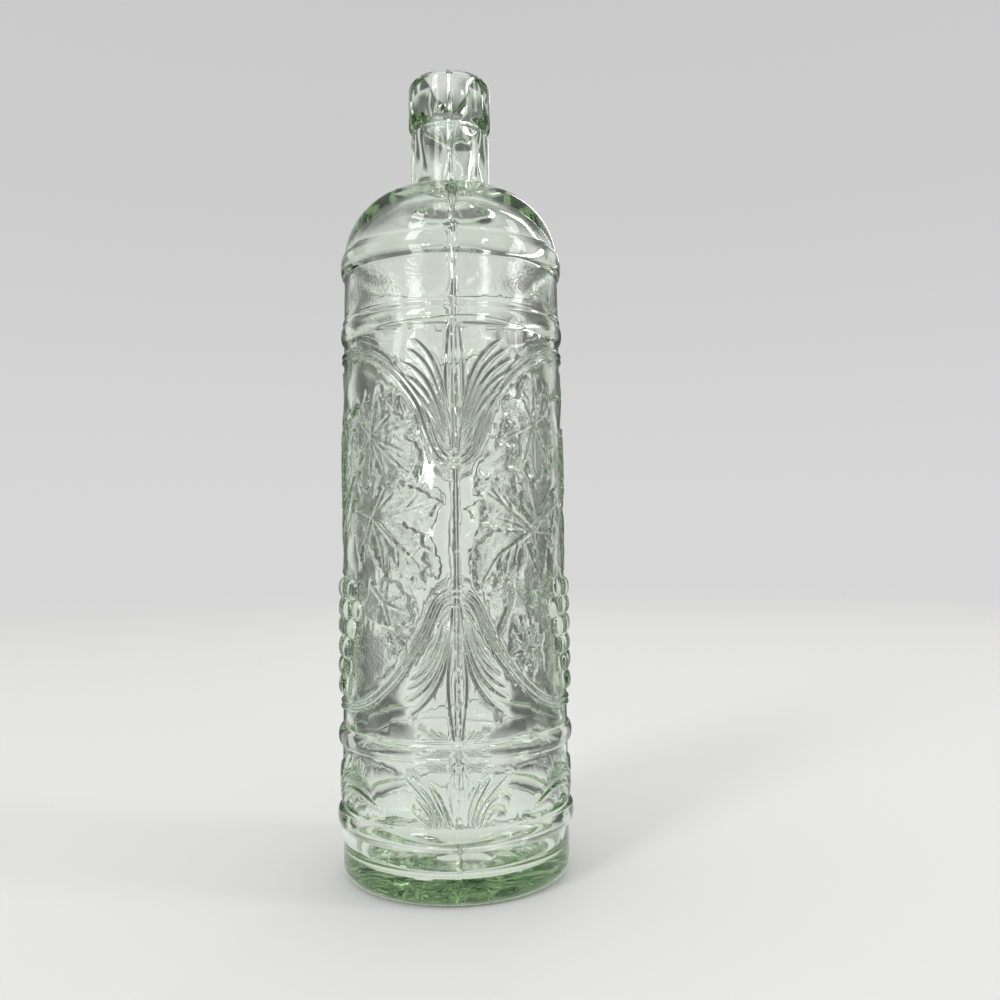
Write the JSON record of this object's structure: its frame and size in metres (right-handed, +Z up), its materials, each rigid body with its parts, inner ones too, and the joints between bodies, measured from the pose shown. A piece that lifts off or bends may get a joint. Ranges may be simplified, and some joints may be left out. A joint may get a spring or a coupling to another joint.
{
  "type": "embossed glass bottle",
  "caption": "Tall round clear glass bottle with a domed shoulder, short cork neck, raised rings, mould seams and embossed vine leaves, grapes and grass fans.",
  "frame": {"origin": "middle of the bottle's base, on the surface that it stands on", "axes": "+Z up along the bottle's axis to the open mouth; the mould seams run up the -Y and +Y sides, and the middles of the two vine panels look along +X and -X"},
  "size_m": [0.0862, 0.0868, 0.292],
  "materials": {
    "pale_green_glass": "clear moulded glass with a pale sea-green tint, slightly wavy"
  },
  "bodies": {
    "root": {"glass_bottle": "pale_green_glass"}
  },
  "joints": []
}
